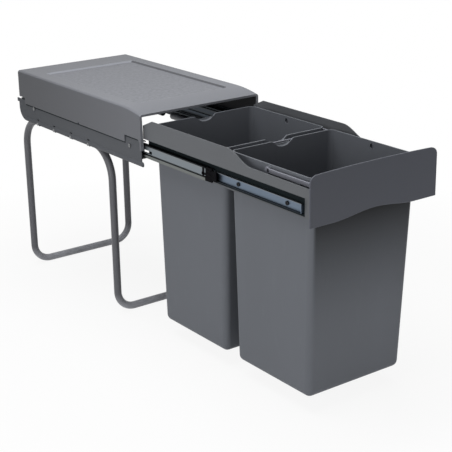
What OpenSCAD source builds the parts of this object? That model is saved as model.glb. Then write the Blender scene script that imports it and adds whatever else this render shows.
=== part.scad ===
// Pull out bin frame: a cover on two tube legs, ball slides under it, and a carrier with two lift-out bins.
// Millimetres. X is the width, Y runs to the rear, Z is up. The carrier is drawn fully pulled out.
// Y = 0 is the front edge of the cover, Z = 0 is the cabinet floor.

/* [Cover] */
// Width over the cover's side walls
cover_w = 256; // [240:1:340]
// Depth of the cover, front edge to rear wall
cover_d = 455; // [445:1:500]
// Wall of the cover
cover_t = 2; // [1.5:0.1:2.4]
// Outer radius of the cover's long top edges
cover_r = 5; // [4:0.5:12]
// Free height from the carrier's sides to the top of the cover
cover_head = 14.6; // [13:0.2:22]
// How far the front of the top rolls down
droop = 7; // [3:0.5:8]
// Length of the roll at the front
droop_len = 65; // [40:1:90]
// Depth of the turned-down front lip
lip_h = 4; // [2.5:0.5:4.5]
// Width of the recess in the top
recess_w = 200; // [120:1:215]
// Length of the recess in the top
recess_len = 334; // [200:1:350]
// Front edge of the recess
recess_y = 54; // [40:1:70]
// Depth of the recess
recess_depth = 3; // [1:0.1:3]
// Corner radius of the recess
recess_r = 8; // [4:0.5:16]
// Length of the notch at the lower front corner of each side wall
notch_len = 49.5; // [30:0.5:70]
// Height of that notch above the wall's lower edge
notch_h = 12.5; // [8:0.5:16]
// Radius of the notch's upper front corner
notch_r = 8; // [3:0.5:8]
// Width of the strip left in front of the notch
notch_strip = 4.5; // [3:0.5:8]

/* [Side rails] */
// Thickness of the side rails
rail_t = 1.5; // [1:0.1:2]
// Length of the side rails
rail_len = 455; // [445:1:500]
// Setback of the rails behind the cover's front edge
rail_set = 3; // [1:0.5:5]
// Height of the rail above the slide
rail_over = 5.5; // [4:0.5:8]
// Radius at the rail's lower rear corner
rail_tail_r = 25; // [12:1:26]
// Length of the lower, rear part of the rail's top edge
rail_tail_len = 33; // [20:1:45]
// How far the rear tab stands out
tab_len = 7; // [4:0.5:12]
// Height of the rear tab
tab_h = 7; // [4:0.5:7]
// Half height of the rounded bead along the rail's lower edge
bead_h = 4; // [3:0.1:4.6]
// How far the bead bulges out of the rail's face
bead_out = 2.2; // [1.6:0.1:2.6]
// Length of the bead's nose ahead of the cover
bead_nose = 3; // [0:0.5:5]

/* [Legs] */
// Outer diameter of the leg tube
tube_d = 14; // [12:0.5:16]
// Wall of the leg tube
tube_t = 1.2; // [1:0.1:1.6]
// Centre of the front leg's posts
front_leg_y = 122.8; // [110:1:128]
// Centre of the rear leg's posts behind the last fixing
rear_leg_set = 75.2; // [72:0.2:90]
// Bend radius at the top of the legs, to the tube's centre
bend_top = 58; // [40:1:62]
// Bend radius at the bottom of the legs, to the tube's centre
bend_low = 35; // [24:1:50]
// Gap from the tube to the rail
leg_gap = 1.7; // [0.5:0.1:3]
// First fixing of the legs, at the front
fix_y = 185.5; // [183:0.5:190]
// Step between the leg fixings
fix_step = 65.2; // [56:0.2:66]
// Length of tube past its last fixing
run_over = 15; // [10:0.5:18]
// Diameter of the fixing rivets
rivet_d = 4.8; // [4:0.2:5.6]
// Diameter of the rivets' heads
rivet_head = 6.4; // [5.8:0.1:6.8]

/* [Slides] */
// Height of the slides' centre above the floor
slide_z = 345.5; // [300:0.5:420]
// Outside height of the outer channel
slide_h = 31.6; // [31.2:0.2:33]
// Total width of a slide
slide_w = 12.7; // [12.6:0.1:13]
// Sheet of the outer channel
slide_t = 1.2; // [1:0.1:1.3]
// Length of the outer channel
outer_len = 444; // [435:1:447]
// Length of the middle channel
mid_len = 420; // [400:1:422]
// Length of the inner channel
inner_len = 400; // [380:1:404]
// Full travel of the carrier
travel = 418; // [380:1:420]
// Diameter of the balls between outer and middle channel
ball_a = 2.8; // [2.2:0.1:2.9]
// Diameter of the balls between middle and inner channel
ball_b = 2.3; // [2.2:0.1:2.5]
// Clearance of a ball to its track
ball_gap = 0.1; // [0.05:0.01:0.15]
// Number of balls in each row
ball_count = 7; // [4:1:8]
// Pitch of the balls
ball_pitch = 13; // [8:0.5:14]

/* [Carrier] */
// Sheet of the carrier
side_t = 1.5; // [1.2:0.1:1.8]
// Height of the carrier's shelf above the slides' centre
shelf_rise = 22.5; // [21:0.5:30]
// How far the carrier's upper sides stand out over its lower sides
shelf_out = 9; // [8.5:0.1:9.8]
// Height of the carrier's sides above the shelf
side_h = 34; // [28:0.5:40]
// Height of the sides at the low front part
side_front_h = 15; // [13:0.5:16]
// Drop of the lower sides below the slides' centre
lower_drop = 15; // [11:0.5:16]
// Thickness of the front panel
panel_t = 2.5; // [2:0.1:4]
// Height of the front panel
panel_h = 79; // [70:1:90]
// Height of the panel's lower edge below the slides' centre
panel_drop = 19.5; // [16:0.5:26]
// Crown of the panel's top edge
panel_crown = 2.5; // [0:0.5:6]
// Height of the arch in the panel's lower edge
panel_arch = 7.5; // [0:0.5:12]
// Corner radius of the panel
panel_r = 12; // [4:0.5:20]
// Width of the flanges that the panel is screwed to
flange_w = 24; // [18:0.5:30]

/* [Bins] */
// Outside length of a bin at the rim
bin_len = 202; // [150:1:204]
// Height of a bin
bin_h = 364.6; // [250:1:372]
// Wall of a bin
bin_t = 2.5; // [2:0.1:3]
// Gap from a bin's rim to the lower sides of the carrier
bin_gap_x = 4.3; // [4:0.1:6]
// Gap between the two bins' rims
bin_gap_y = 15; // [14:0.5:20]
// Gap from the rear bin's rim to the carrier's rear end
bin_gap_rear = 13.5; // [12.5:0.5:18]
// Gap from the front bin's rim to the front panel
bin_gap_front = 17.5; // [16:0.5:24]
// Draft of a bin's sides
draft_x = 8.4; // [6:0.1:14]
// Draft of a bin's front wall
draft_front = 16; // [8:0.5:18]
// Draft of a bin's rear wall
draft_rear = 1; // [1:0.5:10]
// Corner radius of a bin at the rim
bin_r = 8; // [6:0.5:20]
// Corner radius of a bin at the floor
bin_foot_r = 8; // [6:0.5:16]
// Rim above the carrier's shelf
rim_rise = 24.3; // [23:0.1:28]
// Thickness of the flanges that a bin hangs by
hang_t = 3; // [2:0.1:4]
// Length of the flanges that a bin hangs by
hang_len = 160; // [80:1:164]
// Top width of the hand notch
hand_w = 46; // [40:1:60]
// Width of the notch's round scoop
hand_low_w = 34; // [24:1:36]
// Depth of the hand notch
hand_h = 12.5; // [9:0.5:14]
// Depth of the notch's flanks, above the scoop
hand_flank = 4; // [2:0.5:6]

/* [Bails] */
// Height of the bail's strap
bail_h = 7; // [5:0.5:9]
// Thickness of the bail's strap
bail_t = 3; // [2:0.1:3.4]
// Depth of the bail's pivot below the rim
bail_drop = 8.3; // [7:0.1:10]
// Gap from the bin's rim to the bail's cross bar
bail_gap = 4.5; // [4:0.1:5]
// Diameter of the bail's pins
pin_d = 5.9; // [4.9:0.1:6.4]
// Running clearance of the pins, on the radius
pin_gap = 0.05; // [0.03:0.01:0.1]

/* [Hidden] */
$fn = 48;
eps = 0.01;
paint = [0.30, 0.31, 0.33];
paint_light = [0.42, 0.43, 0.45];
plastic_dark = [0.27, 0.28, 0.31];
zinc = [0.55, 0.61, 0.66];
steel = [0.72, 0.73, 0.74];
black = [0.05, 0.05, 0.06];

// Widths, from the cover inwards
x_cover = cover_w / 2;
x_web = x_cover - cover_t;
x_rail = x_web - rail_t;
x_low = x_rail - slide_w;
x_bay = x_low - side_t;
x_side = x_low + shelf_out;
x_leg = x_rail - leg_gap - tube_d / 2;
x_rim = x_bay - bin_gap_x;

// Heights, from the slides outwards
skirt_rise = 7;
strip_drop = 6.5;
run_gap = 2.9;
bead_up = 1.2;
bead_lap = 0.3;
tab_rise = 13.5;
rear_cut_gap = 5.5;
shelf_z = slide_z + shelf_rise;
side_z = shelf_z + side_h;
cover_z = side_z + cover_head;
skirt_z = slide_z + skirt_rise;
strip_z = skirt_z - strip_drop;
run_z = slide_z - slide_h / 2 - run_gap - tube_d / 2;
bead_z = run_z + bead_up;
rail_low_z = bead_z - bead_h + bead_lap;
rail_high_z = slide_z + slide_h / 2 + rail_over;
tab_top_z = slide_z + tab_rise;
rear_cut_z = tab_top_z + rear_cut_gap;
rim_z = shelf_z + rim_rise;
floor_z = rim_z - bin_h;
pivot_z = rim_z - bail_drop;
bead_r = (bead_h * bead_h + bead_out * bead_out) / (2 * bead_out);
bead_x = x_web + bead_out - bead_r;

// Lengths, from the cover's front edge
carrier_rear = 3;
lower_set = 2.5;
inner_set = 15.5;
outer_set = 3;
mid_set = 29;
rear_cut_len = 26;
fix_last = 3;
rear_bin_y = carrier_rear - bin_gap_rear - bin_len / 2;
front_bin_y = rear_bin_y - bin_len - bin_gap_y;
carrier_front = front_bin_y - bin_len / 2 - bin_gap_front;
rail_rear = rail_set + rail_len;
lower_rear = carrier_rear - lower_set;
inner_rear = lower_rear - inner_set;
inner_front = inner_rear - inner_len;
outer_front = rail_set + outer_set;
mid_front = mid_set - travel / 2;
rear_leg_y = fix_y + fix_last * fix_step + rear_leg_set;
fixings = [for (i = [0:fix_last]) fix_y + i * fix_step];
front_run_end = fixings[1] + run_over;
rear_run_end = fixings[2] - run_over;
rear_cut_y = cover_d - rear_cut_len;

// Slide section, half heights from its centre
out_half = slide_h / 2;
track_a = out_half - slide_t;
mid_half = track_a - ball_a - 2 * ball_gap;
mid_t = 1;
track_b = mid_half - mid_t;
in_half = track_b - ball_b - 2 * ball_gap;
in_t = 1.2;
ball_a_in = 6;
ball_b_out = 3.8;
mid_web_in = 4;
step_gap = 0.3;
mid_web_half = 3.5;
mid_lip = 5.4;
mid_over = 1;
mid_under = 0.4;
in_over = 1;
out_edge = 2;
out_lip = 1;
x_ball_a = x_rail - ball_a_in;
x_ball_b = x_low + ball_b_out;
x_mid_web = x_rail - mid_web_in;
x_mid_step = x_ball_b + ball_b / 2 + step_gap;
x_in_tip = x_ball_b + in_over;
cage_t = 0.8;
cage_end = 6;
cage_a_set = 6;
cage_b_set = 32;
cage_a_half = 2.4;
cage_b_in = 2.6;
cage_b_out = 0.6;
cage_len = ball_count * ball_pitch + cage_end;
cage_a_y = outer_front + cage_a_set;
cage_b_y = mid_front + cage_b_set;
window_len = 24;
window_bar = 5;
window_tail = 13;
window_y = lower_rear + 1.4;

// Bumpers
bumper_gap = 0.6;
bumper_body = 17;
bumper_nose = 11;
bumper_nose_half = 8.5;
bumper_clip = 10;
bumper_clip_half = 3.2;
bumper_step = 1;

// Fasteners
screw_d = 4;
screw_gap = 0.15;
screw_head = 7;
screw_head_h = 1.8;
screw_end = 0.4;
cross_deep = 0.8;
cross_half = 2.2;
cross_wide = 0.5;
socket_d = 3;
rail_screw_front = 36.6;
rail_screw_rear = 64;
rail_screw_up = 2.5;
inner_screw_front = 35;
inner_screw_mid = 156;
inner_screw_rear = 46;
rail_screw_y = [rail_set + rail_screw_front, rail_rear - rail_screw_rear];
rail_screw_z = slide_z + rail_screw_up;
inner_screw_y = [inner_front + inner_screw_front, inner_front + inner_screw_mid, inner_rear - inner_screw_rear];
inner_screw_end = 1;
panel_screw_up = -0.5;
panel_screw_over = 6;
panel_screw_in = 8;
panel_screw_z = [slide_z + panel_screw_up, shelf_z + panel_screw_over];
panel_screw_x = x_bay - panel_screw_in;
panel_skin = 0.8;
rivet_gap = 0.1;
rivet_seat = 1.2;
rivet_seat_over = 1;
rivet_head_h = 1.4;
bulb_d = 6.2;
bulb_h = 2.2;
bulb_gap = 0.2;
spacer_d = 10;
slot_len = 8;
slot_h = 2.6;
slot_gap = 0.4;
slot_z = bead_z + bead_r + slot_h / 2 + slot_gap;

// Carrier shapes
wave_set = 13;
wave_len = 60;
wave_n = 12;
rear_chamfer_len = 28;
rear_chamfer_h = 12;
strap_len = 12;
strap_drop = 7.5;
strap_fall = 1;
flange_low = 3;
tie_drop = 4;
tie_gap = 3;
tie_tab = 9;
arch_half = 85;
panel_n = 24;
panel_corner_n = 8;

// Bin and bail shapes
tub_rim = 2;
boss_out = 2;
boss_gap = 0.5;
stop_at = 0.36;
stop_half = 4;
hang_gap = 2.3;
hand_lip_t = 2;
hand_lip_gap = 0.5;
hand_n = 8;
snap_r = 3;
eye_r = 5.6;
pin_end = 0.6;

// A soft step from 0 to 1
function ease(t) = (1 - cos(180 * t)) / 2;
// Bin sizes at the floor
x_foot = x_rim - draft_x;
function wall_x(z) = x_rim - draft_x * (rim_z - z) / bin_h;

// Places a Y-Z outline as a plate that runs from x0 to x1
module plate(x0, x1) {
    translate([x0, 0, 0]) rotate([90, 0, 90]) linear_extrude(x1 - x0) children();
}

// Places an X-Z outline as a bar that runs from y0 to y1
module bar(y0, y1) {
    translate([0, y1, 0]) rotate([90, 0, 0]) linear_extrude(y1 - y0) children();
}

// Round bar along X from x0 to x1
module rod_x(d, x0, x1, y, z) {
    translate([x0, y, z]) rotate([0, 90, 0]) cylinder(d = d, h = x1 - x0);
}

// Block between two corners
module block(a, b) {
    translate(a) cube(b - a);
}

// Rounded rectangle between two corners, made of squares and circles
module soft_rect(x0, y0, x1, y1, r) {
    translate([x0 + r, y0]) square([x1 - x0 - 2 * r, y1 - y0]);
    translate([x0, y0 + r]) square([x1 - x0, y1 - y0 - 2 * r]);
    for (x = [x0 + r, x1 - r], y = [y0 + r, y1 - r]) translate([x, y]) circle(r);
}

module both_sides() {
    children();
    mirror([1, 0, 0]) children();
}

// Inverted trough of the cover, drawn in by w on every side but the bottom
module cover_form(w, y0, low) {
    r = cover_r - w;
    half = x_cover - w;
    top = cover_z - w;
    rear = cover_d - w;
    roll = [for (i = [0:wave_n]) [droop_len * i / wave_n, top - droop * pow(1 - i / wave_n, 2)]];
    intersection() {
        bar(y0, rear) union() {
            translate([-half, low]) square([2 * half, top - r - low]);
            translate([r - half, low]) square([2 * (half - r), top - low]);
            for (s = [-1, 1]) translate([s * (half - r), top - r]) circle(r);
        }
        plate(-half, half) polygon(concat([[y0, low], [y0, top - droop]], roll, [[rear, top], [rear, low]]));
        translate([0, 0, low]) linear_extrude(top - low) union() {
            translate([-half, y0]) square([2 * half, rear - r - y0]);
            translate([r - half, y0]) square([2 * (half - r), rear - y0]);
            for (s = [-1, 1]) translate([s * (half - r), rear - r]) circle(r);
        }
    }
}

module top_cover() {
    tray_low = cover_z - recess_depth - cover_t;
    lip_z = cover_z - droop - lip_h;
    color(paint_light) difference() {
        union() {
            difference() {
                cover_form(0, 0, strip_z);
                cover_form(cover_t, -1, strip_z - 1);
            }
            block([-recess_w / 2 - cover_t, recess_y - cover_t, tray_low],
                [recess_w / 2 + cover_t, recess_y + recess_len + cover_t, cover_z - cover_t + eps]);
            intersection() {
                cover_form(0, 0, strip_z);
                block([-x_cover, 0, lip_z], [x_cover, cover_t, cover_z]);
            }
        }
        translate([0, 0, cover_z - recess_depth]) linear_extrude(recess_depth + 1)
            soft_rect(-recess_w / 2, recess_y, recess_w / 2, recess_y + recess_len, recess_r);
        plate(-x_cover - 1, x_cover + 1) union() {
            translate([notch_strip, strip_z - 1]) square([cover_d, skirt_z - strip_z + 1]);
            translate([notch_strip, strip_z - 1])
                square([notch_len, skirt_z + notch_h - notch_r - strip_z + 1]);
            translate([notch_strip + notch_r, strip_z - 1])
                square([notch_len - notch_r, skirt_z + notch_h - strip_z + 1]);
            translate([notch_strip + notch_r, skirt_z + notch_h - notch_r]) circle(notch_r);
            translate([rear_cut_y, strip_z - 1]) square([cover_d, rear_cut_z - strip_z + 1]);
            translate([(rail_screw_y[0] + rail_screw_y[1]) / 2, skirt_z]) circle(snap_r);
        }
    }
}

// Rail on the +X side
module side_rail() {
    difference() {
        union() {
            plate(x_rail, x_web) difference() {
                union() {
                    translate([rail_set, rail_low_z])
                        square([rail_len - rail_tail_len, rail_high_z - rail_low_z]);
                    translate([rail_set, rail_low_z]) square([rail_len, tab_top_z - rail_low_z]);
                    translate([rail_set, tab_top_z - tab_h]) square([rail_len + tab_len, tab_h]);
                }
                translate([rail_rear, rail_low_z]) difference() {
                    translate([-rail_tail_r, -1]) square(rail_tail_r + 1);
                    translate([-rail_tail_r, rail_tail_r]) circle(rail_tail_r);
                }
                for (y = fixings) translate([y - slot_len / 2, slot_z - slot_h / 2]) square([slot_len, slot_h]);
            }
            intersection() {
                union() {
                    translate([bead_x, bead_r - bead_nose, bead_z]) rotate([-90, 0, 0])
                        cylinder(r = bead_r, h = rail_rear - rail_tail_r - bead_r + bead_nose);
                    translate([bead_x, bead_r - bead_nose, bead_z]) sphere(bead_r);
                }
                block([x_rail, -bead_nose - 1, 0], [x_cover + bead_r, rail_rear, slide_z]);
            }
        }
        for (y = fixings) {
            rod_x(rivet_d + 2 * rivet_gap, x_rail - 1, x_cover + 10, y, run_z);
            rod_x(rivet_head + rivet_seat_over, x_web + bead_out - rivet_seat, x_cover + 10, y, run_z);
        }
        for (y = rail_screw_y)
            rod_x(screw_d + 2 * screw_gap, x_rail - 1, x_web + 1, y, rail_screw_z);
    }
}

module left_side_rail() { color(paint) mirror([1, 0, 0]) side_rail(); }

module right_side_rail() { color(paint) side_rail(); }

// Ring of the leg tube
module tube_ring(w) {
    difference() {
        circle(tube_d / 2);
        circle(tube_d / 2 - w);
    }
}

// Bent tube leg: side runs under the slides, posts down and one bar across the floor
module leg(y, dir, run_end) {
    post_low = tube_d / 2 + bend_low;
    post_top = run_z - bend_top;
    run_start = y + dir * bend_top;
    difference() {
        union() {
            both_sides() {
                translate([x_leg, run_start, run_z]) rotate([dir > 0 ? -90 : 90, 0, 0])
                    linear_extrude(abs(run_end - run_start)) tube_ring(tube_t);
                translate([x_leg, run_start, post_top]) rotate([0, 0, dir > 0 ? 0 : 180]) rotate([90, 0, -90])
                    rotate_extrude(angle = 90) translate([bend_top, 0]) tube_ring(tube_t);
                translate([x_leg, y, post_low]) linear_extrude(post_top - post_low) tube_ring(tube_t);
                translate([x_leg - bend_low, y, post_low]) rotate([90, 0, 0]) rotate_extrude(angle = -90)
                    translate([bend_low, 0]) tube_ring(tube_t);
            }
            translate([bend_low - x_leg, y, tube_d / 2]) rotate([0, 90, 0])
                linear_extrude(2 * (x_leg - bend_low)) tube_ring(tube_t);
        }
        for (f = fixings) both_sides()
            rod_x(rivet_d + 2 * rivet_gap, x_leg + tube_d / 4, x_leg + tube_d, f, run_z);
    }
}

module front_leg() { color(paint) leg(front_leg_y, 1, front_run_end); }

module rear_leg() { color(paint) leg(rear_leg_y, -1, rear_run_end); }

// Saddle spacers between the leg tubes and the rails
module leg_spacers() {
    color(black) both_sides() for (f = fixings) difference() {
        rod_x(spacer_d, x_leg + tube_d / 4, x_rail, f, run_z);
        rod_x(rivet_d + 2 * rivet_gap, x_leg, x_web, f, run_z);
        translate([x_leg, f - spacer_d, run_z]) rotate([-90, 0, 0]) cylinder(d = tube_d, h = 2 * spacer_d);
    }
}

// Blind rivets through rail, spacer and tube
module leg_rivets() {
    seat = x_web + bead_out - rivet_seat;
    bulb = x_leg + sqrt(pow(tube_d / 2 - tube_t, 2) - pow(bulb_d / 2, 2)) - bulb_gap;
    color(steel) both_sides() for (f = fixings) {
        rod_x(bulb_d, bulb - bulb_h, bulb, f, run_z);
        rod_x(rivet_d, bulb - eps, seat + eps, f, run_z);
        rod_x(rivet_head, seat, seat + rivet_head_h, f, run_z);
    }
}

// Screws that hold the outer channels to the rails
module rail_screws() {
    color(steel) both_sides() for (y = rail_screw_y) {
        rod_x(screw_d, x_rail - slide_t - screw_end, x_web + eps, y, rail_screw_z);
        difference() {
            rod_x(screw_head, x_web, x_web + screw_head_h, y, rail_screw_z);
            block([x_web + screw_head_h - cross_deep, y - cross_half, rail_screw_z - cross_wide],
                [x_web + screw_head_h + 1, y + cross_half, rail_screw_z + cross_wide]);
            block([x_web + screw_head_h - cross_deep, y - cross_wide, rail_screw_z - cross_half],
                [x_web + screw_head_h + 1, y + cross_wide, rail_screw_z + cross_half]);
        }
    }
}

// Outer channel on the +X side, open to the carrier
module slide_outer() {
    flange_in = x_low + out_edge;
    difference() {
        translate([0, 0, slide_z]) bar(outer_front, outer_front + outer_len) union() {
            translate([x_rail - slide_t, -out_half]) square([slide_t, slide_h]);
            for (s = [-1, 1]) scale([1, s]) {
                translate([flange_in, track_a]) square([x_rail - flange_in, slide_t]);
                translate([flange_in, track_a - out_lip]) square([slide_t, out_lip + slide_t]);
            }
        }
        for (y = rail_screw_y)
            rod_x(screw_d + 2 * screw_gap, x_rail - slide_t - 1, x_rail + 1, y, rail_screw_z);
    }
}

module left_slide_outer() { color(zinc) mirror([1, 0, 0]) slide_outer(); }

module right_slide_outer() { color(zinc) slide_outer(); }

// Middle channel on the +X side: a web with a folded, lipped track along both edges
module slide_middle() {
    step = mid_web_half;
    flange_out = x_mid_web + mid_over;
    flange_in = x_ball_b - ball_b / 2 - mid_under;
    difference() {
        translate([0, 0, slide_z]) bar(mid_front, mid_front + mid_len) union() {
            translate([x_mid_web - mid_t, -step]) square([mid_t, step + mid_half]);
            for (s = [-1, 1]) scale([1, s]) {
                translate([x_mid_step, step - mid_t]) square([x_mid_web - x_mid_step, mid_t]);
                translate([x_mid_step, step - mid_t]) square([mid_t, mid_half - step + mid_t]);
                translate([flange_in, track_b]) square([flange_out - flange_in, mid_t]);
            }
            translate([flange_out - mid_t, -mid_half]) square([mid_t, mid_lip]);
        }
        for (y = [window_y - window_len, window_y + window_bar])
            block([x_mid_web - mid_t - 1, y, slide_z - step + mid_t],
                [x_mid_web + 1, y + (y < window_y ? window_len : window_tail), slide_z + step - mid_t]);
    }
}

module left_slide_middle() { color(zinc) mirror([1, 0, 0]) slide_middle(); }

module right_slide_middle() { color(zinc) slide_middle(); }

// Plastic bumpers clipped on the front ends of the middle channels
module slide_bumpers() {
    x_in = x_in_tip + bumper_gap;
    x_out = x_mid_web + bumper_gap;
    body_y = mid_front - bumper_body;
    color(black) both_sides() {
        block([x_in, body_y, slide_z - mid_half], [x_out, mid_front, slide_z + mid_half]);
        block([x_in, body_y - bumper_nose, slide_z - bumper_nose_half],
            [x_out - bumper_step, body_y + eps, slide_z + bumper_nose_half]);
        block([x_mid_web, mid_front - eps, slide_z - bumper_clip_half],
            [x_out, mid_front + bumper_clip, slide_z + bumper_clip_half]);
    }
}

// Strip from x0 to x1 with holes for one row of balls at x, on the +X side
module cage_strip(x0, x1, x, z, d, y) {
    difference() {
        block([x0, y, z - cage_t / 2], [x1, y + cage_len, z + cage_t / 2]);
        for (i = [0:ball_count - 1])
            translate([x, y + cage_len / 2 + (i - (ball_count - 1) / 2) * ball_pitch, z - cage_t])
                cylinder(d = d + 2 * ball_gap, h = 2 * cage_t);
    }
}

// One row of balls on the +X side
module ball_row(x, z, d, y) {
    for (i = [0:ball_count - 1])
        translate([x, y + cage_len / 2 + (i - (ball_count - 1) / 2) * ball_pitch, z]) sphere(d = d);
}

module outer_ball_cages() {
    color(steel) both_sides() for (s = [-1, 1])
        cage_strip(x_ball_a - cage_a_half, x_ball_a + cage_a_half, x_ball_a,
            slide_z + s * (mid_half + track_a) / 2, ball_a, cage_a_y);
}

module outer_balls() {
    color(steel) both_sides() for (s = [-1, 1])
        ball_row(x_ball_a, slide_z + s * (mid_half + track_a) / 2, ball_a, cage_a_y);
}

module inner_ball_cages() {
    color(steel) both_sides() for (s = [-1, 1])
        cage_strip(x_ball_b - cage_b_in, x_ball_b + cage_b_out, x_ball_b,
            slide_z + s * (in_half + track_b) / 2, ball_b, cage_b_y);
}

module inner_balls() {
    color(steel) both_sides() for (s = [-1, 1])
        ball_row(x_ball_b, slide_z + s * (in_half + track_b) / 2, ball_b, cage_b_y);
}

// Inner channel on the +X side, open to the rail
module slide_inner() {
    difference() {
        union() {
            translate([0, 0, slide_z]) bar(inner_front, inner_rear) union() {
                translate([x_low, -in_half]) square([in_t, 2 * in_half]);
                for (s = [-1, 1]) scale([1, s]) translate([x_low, in_half - in_t])
                    square([x_in_tip - x_low, in_t]);
            }
            block([x_low, inner_front - in_t, slide_z - in_half],
                [x_in_tip, inner_front + eps, slide_z + in_half]);
        }
        for (y = inner_screw_y) rod_x(screw_d + 2 * screw_gap, x_low - 1, x_low + in_t + 1, y, slide_z);
    }
}

module left_slide_inner() { color(zinc) mirror([1, 0, 0]) slide_inner(); }

module right_slide_inner() { color(zinc) slide_inner(); }

// Screws that hold the inner channels to the carrier's sides
module inner_screws() {
    color(black) both_sides() for (y = inner_screw_y) {
        rod_x(screw_d, x_bay - inner_screw_end, x_low + in_t + eps, y, slide_z);
        difference() {
            rod_x(screw_head, x_low + in_t, x_low + in_t + screw_head_h, y, slide_z);
            rod_x(socket_d, x_low + in_t + cross_deep, x_low + in_t + screw_head_h + 1, y, slide_z);
        }
    }
}

// Folded side of the carrier on the +X side
module carrier_side() {
    wave_y = front_bin_y + bin_len / 2 - wave_set;
    wave = [for (i = [0:wave_n])
        [wave_y - wave_len * i / wave_n, side_z - (side_h - side_front_h) * ease(i / wave_n)]];
    strap_z = slide_z - strap_drop;
    strap_y = carrier_front + strap_len;
    difference() {
        union() {
            plate(x_side - side_t, x_side) polygon(concat(
                [[carrier_rear, shelf_z - side_t], [carrier_rear, side_z - rear_chamfer_h],
                [carrier_rear - rear_chamfer_len, side_z]], wave,
                [[carrier_front, shelf_z + side_front_h - strap_fall], [carrier_front, strap_z],
                [strap_y, strap_z], [strap_y, shelf_z - side_t]]));
            block([x_bay, carrier_front, shelf_z - side_t], [x_side - side_t + eps, carrier_rear, shelf_z]);
            block([x_bay, carrier_front, slide_z - lower_drop], [x_low, lower_rear, shelf_z - side_t + eps]);
            block([x_low - flange_w, carrier_front, slide_z - lower_drop],
                [x_side - side_t + eps, carrier_front + side_t, shelf_z + side_front_h - flange_low]);
        }
        for (y = inner_screw_y) rod_x(screw_d + 2 * screw_gap, x_bay - 1, x_low + 1, y, slide_z);
        for (z = panel_screw_z) translate([panel_screw_x, carrier_front - 1, z]) rotate([-90, 0, 0])
            cylinder(d = screw_d + 2 * screw_gap, h = side_t + 2);
    }
}

module left_carrier_side() { color(paint_light) mirror([1, 0, 0]) carrier_side(); }

module right_carrier_side() { color(paint_light) carrier_side(); }

// Flat tie across the carrier with a tab at each end
module tie(y, low, high) {
    block([-x_bay, y, low], [x_bay, y + side_t, high]);
    both_sides() block([x_bay - side_t, y, low], [x_bay, y + tie_tab, high]);
}

module rear_cross_rail() {
    y = rear_bin_y + bin_len / 2 + tie_gap;
    color(paint) mirror([0, 1, 0]) translate([0, -2 * y - side_t, 0])
        tie(y, slide_z - tie_drop, shelf_z - side_t);
}

module centre_cross_rail() {
    color(paint) tie((rear_bin_y + front_bin_y) / 2 - side_t, slide_z - tie_drop, shelf_z - side_t);
}

module front_panel() {
    low = slide_z - panel_drop;
    top = low + panel_h;
    turn = 90 / panel_corner_n;
    crown = [for (i = [0:panel_n]) let (x = (x_cover - panel_r) * (1 - 2 * i / panel_n))
        [x, top + panel_crown * (1 - pow(x / x_cover, 2))]];
    corner_l = [for (i = [1:panel_corner_n - 1]) [-x_cover + panel_r - panel_r * sin(turn * i),
        top - panel_r + panel_r * cos(turn * i)]];
    corner_r = [for (i = [1:panel_corner_n - 1]) [x_cover - panel_r + panel_r * cos(turn * i),
        top - panel_r + panel_r * sin(turn * i)]];
    arch = [for (i = [0:panel_n]) let (x = arch_half * (2 * i / panel_n - 1))
        [x, low + panel_arch * (1 + cos(180 * x / arch_half)) / 2]];
    color(paint) difference() {
        bar(carrier_front - panel_t, carrier_front) polygon(concat(
            [[-x_cover, low]], arch, [[x_cover, low], [x_cover, top - panel_r]], corner_r, crown, corner_l,
            [[-x_cover, top - panel_r]]));
        both_sides() for (z = panel_screw_z)
            translate([panel_screw_x, carrier_front - panel_t + panel_skin, z]) rotate([-90, 0, 0])
                cylinder(d = screw_d + 2 * screw_gap, h = panel_t);
    }
}

// Screws from the carrier's flanges into the front panel
module panel_screws() {
    y = carrier_front + side_t;
    color(steel) both_sides() for (z = panel_screw_z) translate([panel_screw_x, y, z]) rotate([-90, 0, 0]) {
        reach = side_t + panel_t - panel_skin - screw_end;
        translate([0, 0, -reach]) cylinder(d = screw_d, h = reach + eps);
        difference() {
            cylinder(d = screw_head, h = screw_head_h);
            translate([0, 0, cross_deep]) cylinder(d = socket_d, h = screw_head_h);
        }
    }
}

// Tapered tub of a bin, drawn in by w, centred on Y = 0
module tub(w, top, foot) {
    hull() {
        for (s = [-1, 1], t = [-1, 1])
            translate([s * (x_rim - bin_r), t * (bin_len / 2 - bin_r), top - tub_rim])
                cylinder(r = bin_r - w, h = tub_rim, $fn = 40);
        for (s = [-1, 1], y = [draft_front + bin_foot_r - bin_len / 2, bin_len / 2 - draft_rear - bin_foot_r])
            translate([s * (x_foot - bin_foot_r), y, foot + bin_foot_r - w]) sphere(bin_foot_r - w, $fn = 32);
    }
}

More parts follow.
